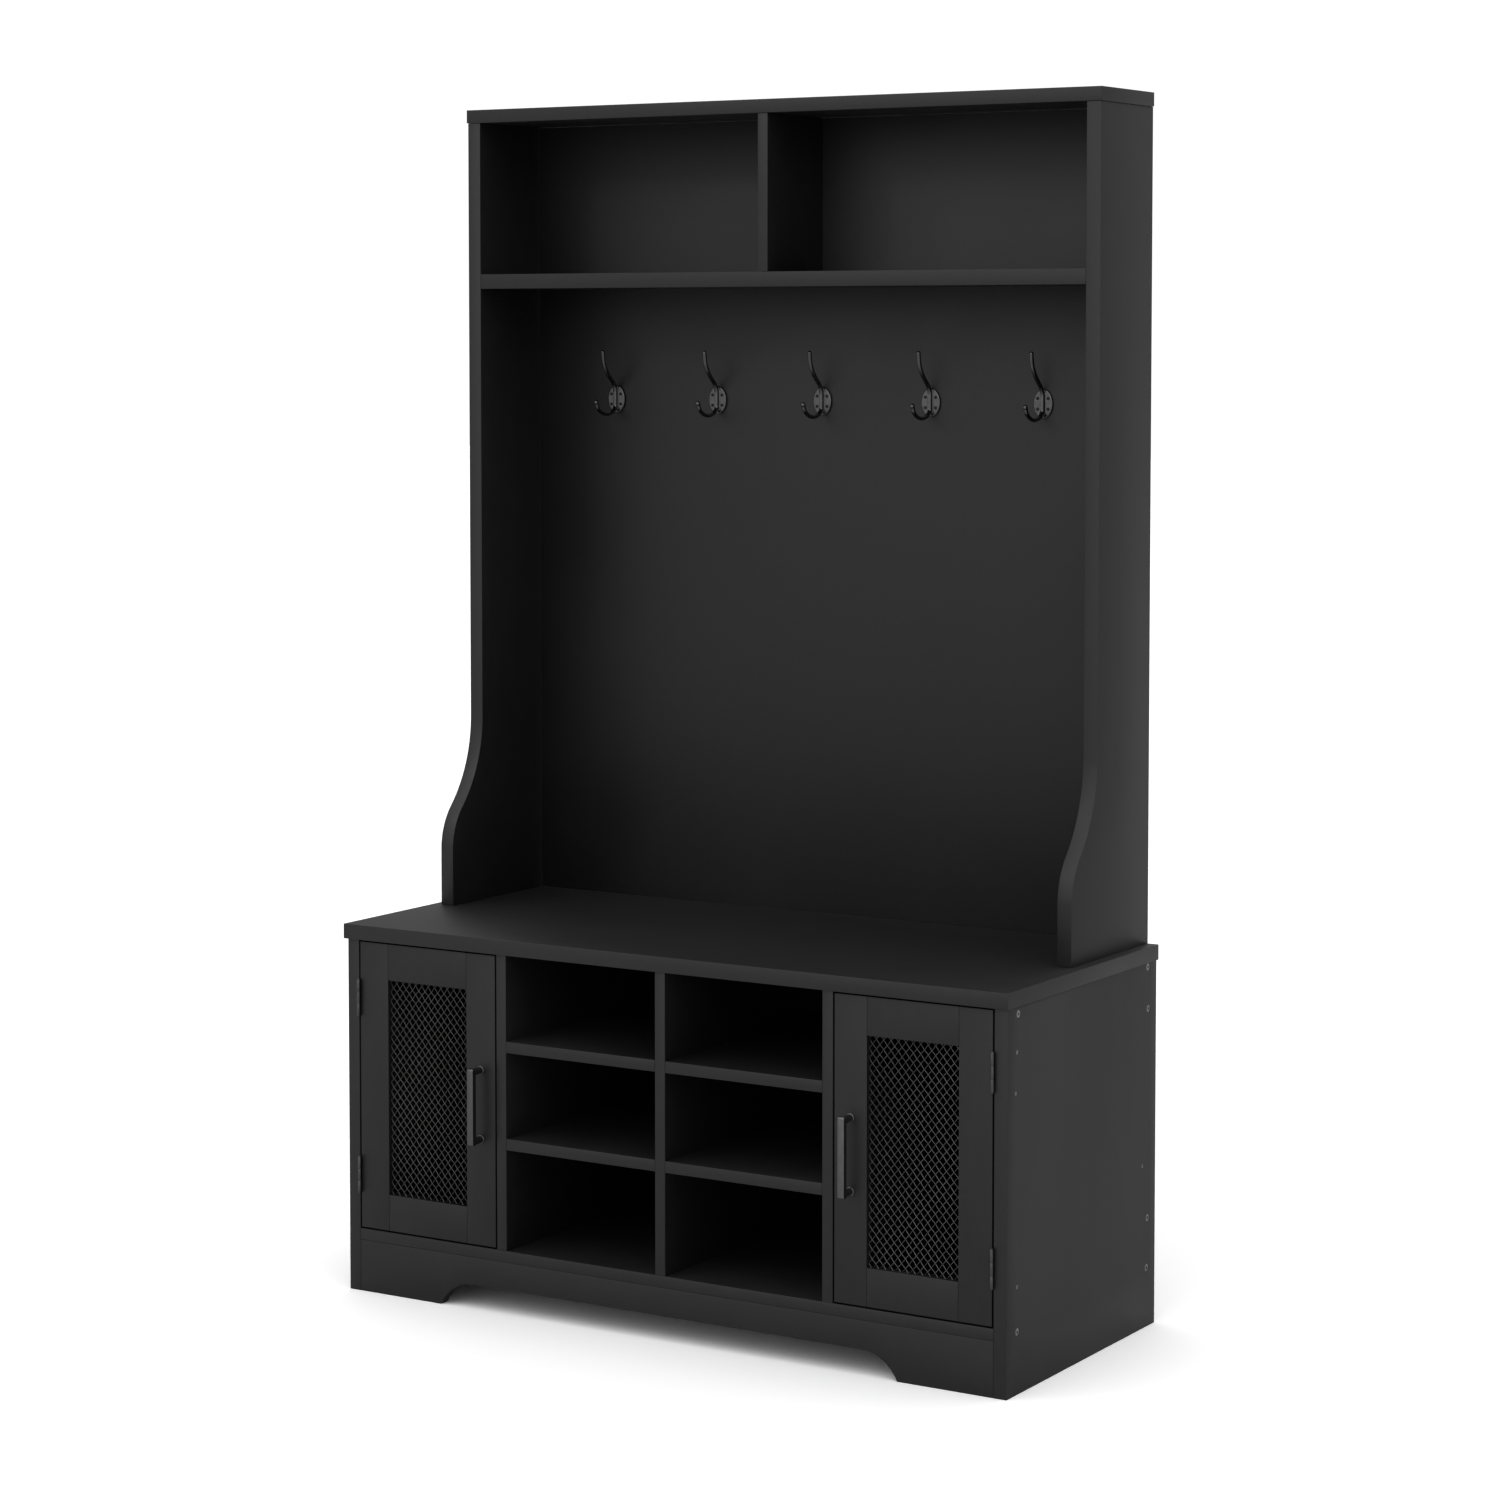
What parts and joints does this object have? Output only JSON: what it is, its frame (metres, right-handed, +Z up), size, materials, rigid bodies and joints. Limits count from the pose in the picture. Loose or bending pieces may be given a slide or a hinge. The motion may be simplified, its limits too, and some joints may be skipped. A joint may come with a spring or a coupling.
{
  "type": "hall tree with shoe bench",
  "caption": "Black hall tree: a shoe bench with open cubbies between mesh-door cabinets, and a hutch above it with coat hooks and open compartments.",
  "frame": {"origin": "on the floor, at the middle of the overall width and of the overall depth, handles included", "axes": "+X to the right as seen from the front, the front faces -Y, +Z up"},
  "size_m": [1.003, 0.439, 1.5946],
  "materials": {
    "laminate": "satin black laminate with a faint fine grain, on particleboard with banded edges",
    "back_board": "matt black laminated fibreboard",
    "door_board": "satin black laminated door frame",
    "mesh_wire": "black powder-coated diamond wire mesh",
    "hook_black": "glossy black enamel",
    "handle_black": "satin black coated metal",
    "hinge_steel": "nickel-plated steel",
    "screw_zinc": "bright zinc-plated steel",
    "catch_plastic": "black moulded plastic"
  },
  "bodies": {
    "carcass": {"base_side_left": "laminate", "base_side_right": "laminate", "partition_left": "laminate", "partition_right": "laminate", "center_divider": "laminate", "cubby_shelf_upper_left": "laminate", "cubby_shelf_upper_right": "laminate", "cubby_shelf_lower_left": "laminate", "cubby_shelf_lower_right": "laminate", "bottom_panel": "laminate", "kick_board": "laminate", "base_back_panel": "back_board", "bench_top": "laminate", "hutch_side_left": "laminate", "hutch_side_right": "laminate", "hutch_shelf": "laminate", "hutch_divider": "laminate", "hutch_back_panel": "back_board", "hutch_top": "laminate", "coat_hook_1": "hook_black", "coat_hook_2": "hook_black", "coat_hook_3": "hook_black", "coat_hook_4": "hook_black", "coat_hook_5": "hook_black", "confirmat_screw_left_front": "screw_zinc", "confirmat_screw_left_rear": "screw_zinc", "confirmat_screw_right_front": "screw_zinc", "confirmat_screw_right_rear": "screw_zinc", "magnet_catch_left": "catch_plastic", "magnet_catch_right": "catch_plastic", "hinge_left_upper_frame_leaf": "hinge_steel", "hinge_left_upper_pin": "hinge_steel", "hinge_left_lower_frame_leaf": "hinge_steel", "hinge_left_lower_pin": "hinge_steel", "hinge_right_upper_frame_leaf": "hinge_steel", "hinge_right_upper_pin": "hinge_steel", "hinge_right_lower_frame_leaf": "hinge_steel", "hinge_right_lower_pin": "hinge_steel"},
    "left_door": {"door_left_inner_stile": "door_board", "door_left_outer_stile": "door_board", "door_left_top_rail": "door_board", "door_left_bottom_rail": "door_board", "door_left_mesh_panel": "mesh_wire", "door_left_handle": "handle_black", "door_left_strike_plate": "hinge_steel", "hinge_left_upper_door_leaf": "hinge_steel", "hinge_left_lower_door_leaf": "hinge_steel"},
    "right_door": {"door_right_inner_stile": "door_board", "door_right_outer_stile": "door_board", "door_right_top_rail": "door_board", "door_right_bottom_rail": "door_board", "door_right_mesh_panel": "mesh_wire", "door_right_handle": "handle_black", "door_right_strike_plate": "hinge_steel", "hinge_right_upper_door_leaf": "hinge_steel", "hinge_right_lower_door_leaf": "hinge_steel"}
  },
  "joints": [
    {"name": "left_door_hinge", "type": "hinge", "parent": "carcass", "child": "left_door", "pos_m": [-0.47925, -0.1976, 0.279], "axis": [0, 0, -1], "range_deg": [0, 110]},
    {"name": "right_door_hinge", "type": "hinge", "parent": "carcass", "child": "right_door", "pos_m": [0.47925, -0.1976, 0.279], "axis": [0, 0, 1], "range_deg": [0, 110]}
  ]
}
